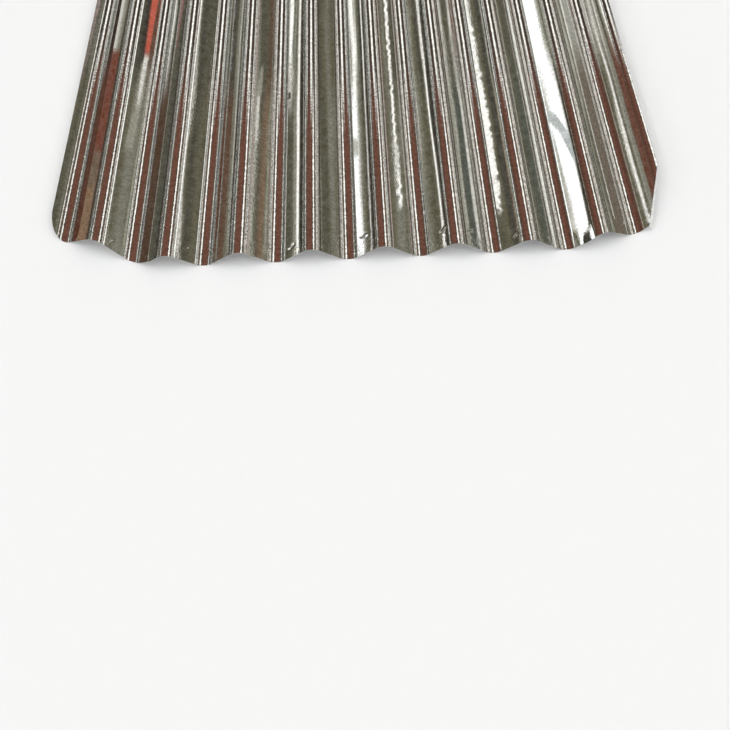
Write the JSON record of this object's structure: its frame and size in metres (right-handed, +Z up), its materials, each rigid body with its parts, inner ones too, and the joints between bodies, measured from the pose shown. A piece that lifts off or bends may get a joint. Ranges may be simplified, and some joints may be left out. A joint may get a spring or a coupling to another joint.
{
  "type": "corrugated metal sheet",
  "caption": "Corrugated zinc-coated steel sheet for roofs and walls, with even rounded waves, turned-up side edges and trimmed front corners, lying flat.",
  "frame": {"origin": "centre of the sheet's box, on the floor plane that the undersides of the valleys rest on", "axes": "+X across the corrugations, +Y along them from the front end with trimmed corners to the square back end, +Z up, crests upwards"},
  "size_m": [0.665, 2.4, 0.018],
  "materials": {
    "bright_zinc": "bright zinc coating, mirror-like, with fine spangle and rolling lines along the sheet"
  },
  "bodies": {
    "root": {"corrugated_sheet": "bright_zinc"}
  },
  "joints": []
}
